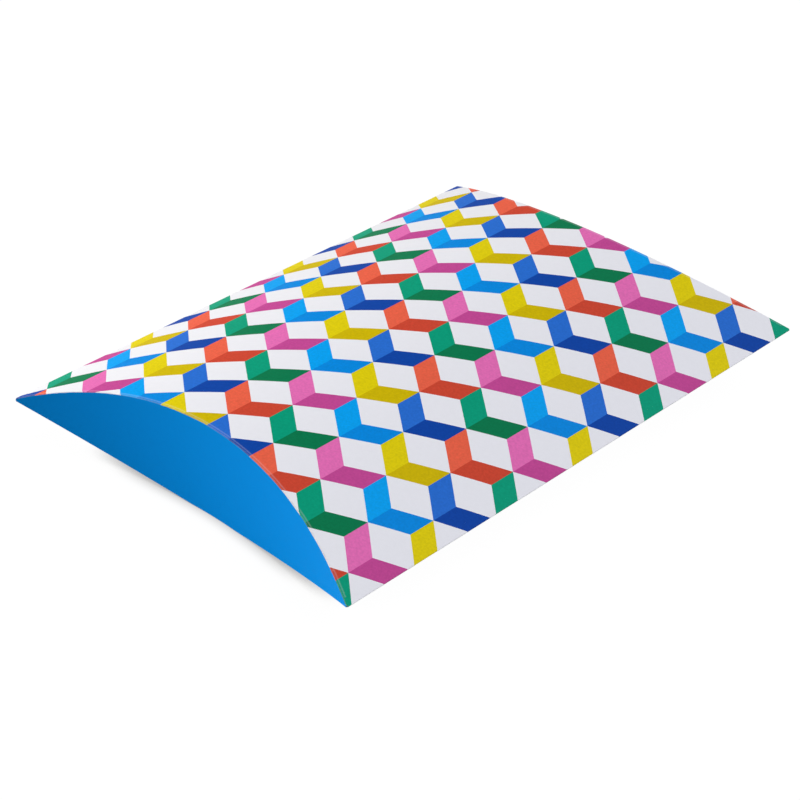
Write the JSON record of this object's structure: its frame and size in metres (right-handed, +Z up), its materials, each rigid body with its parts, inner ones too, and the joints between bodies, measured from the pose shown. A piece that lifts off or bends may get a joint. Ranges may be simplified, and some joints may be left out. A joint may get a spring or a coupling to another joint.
{
  "type": "pillow box",
  "caption": "Flat-lying paperboard pillow box with bowed printed panels, a glued side seam and curved end flaps that swing open.",
  "frame": {"origin": "on the ground under the middle of the box, as it lies flat", "axes": "+Z up through the top panel, Y along the box's length with the near end at -Y, +X towards the plain side fold; the glue seam is at -X"},
  "size_m": [0.2263, 0.3024, 0.0504],
  "materials": {
    "print": "satin",
    "flap_blue": "satin",
    "plain_board": "matte",
    "adhesive": "satin"
  },
  "bodies": {
    "sleeve": {"top_panel": "print", "bottom_panel": "print", "side_fold": "print", "seam_fold": "print", "glue_tab": "plain_board", "glue_line": "adhesive"},
    "near_outer": {"near_outer_flap": "flap_blue", "near_outer_crease": "flap_blue"},
    "near_inner": {"near_inner_flap": "flap_blue", "near_inner_crease": "flap_blue"},
    "far_outer": {"far_outer_flap": "flap_blue", "far_outer_crease": "flap_blue"},
    "far_inner": {"far_inner_flap": "flap_blue", "far_inner_crease": "flap_blue"}
  },
  "joints": [
    {"name": "near_outer_open", "type": "hinge", "parent": "sleeve", "child": "near_outer", "pos_m": [0, -0.127, 0.05038], "axis": [-1, 0, 0], "range_deg": [0, 90]},
    {"name": "near_inner_open", "type": "hinge", "parent": "sleeve", "child": "near_inner", "pos_m": [0, -0.1262, 0], "axis": [1, 0, 0], "range_deg": [0, 45]},
    {"name": "far_outer_open", "type": "hinge", "parent": "sleeve", "child": "far_outer", "pos_m": [0, 0.127, 0.05038], "axis": [1, 0, 0], "range_deg": [0, 90]},
    {"name": "far_inner_open", "type": "hinge", "parent": "sleeve", "child": "far_inner", "pos_m": [0, 0.1262, 0], "axis": [-1, 0, 0], "range_deg": [0, 45]}
  ],
  "couplings": [
    {"joint": "near_inner_open", "follows": "near_outer_open", "ratio": 0.5},
    {"joint": "far_inner_open", "follows": "far_outer_open", "ratio": 0.5}
  ]
}
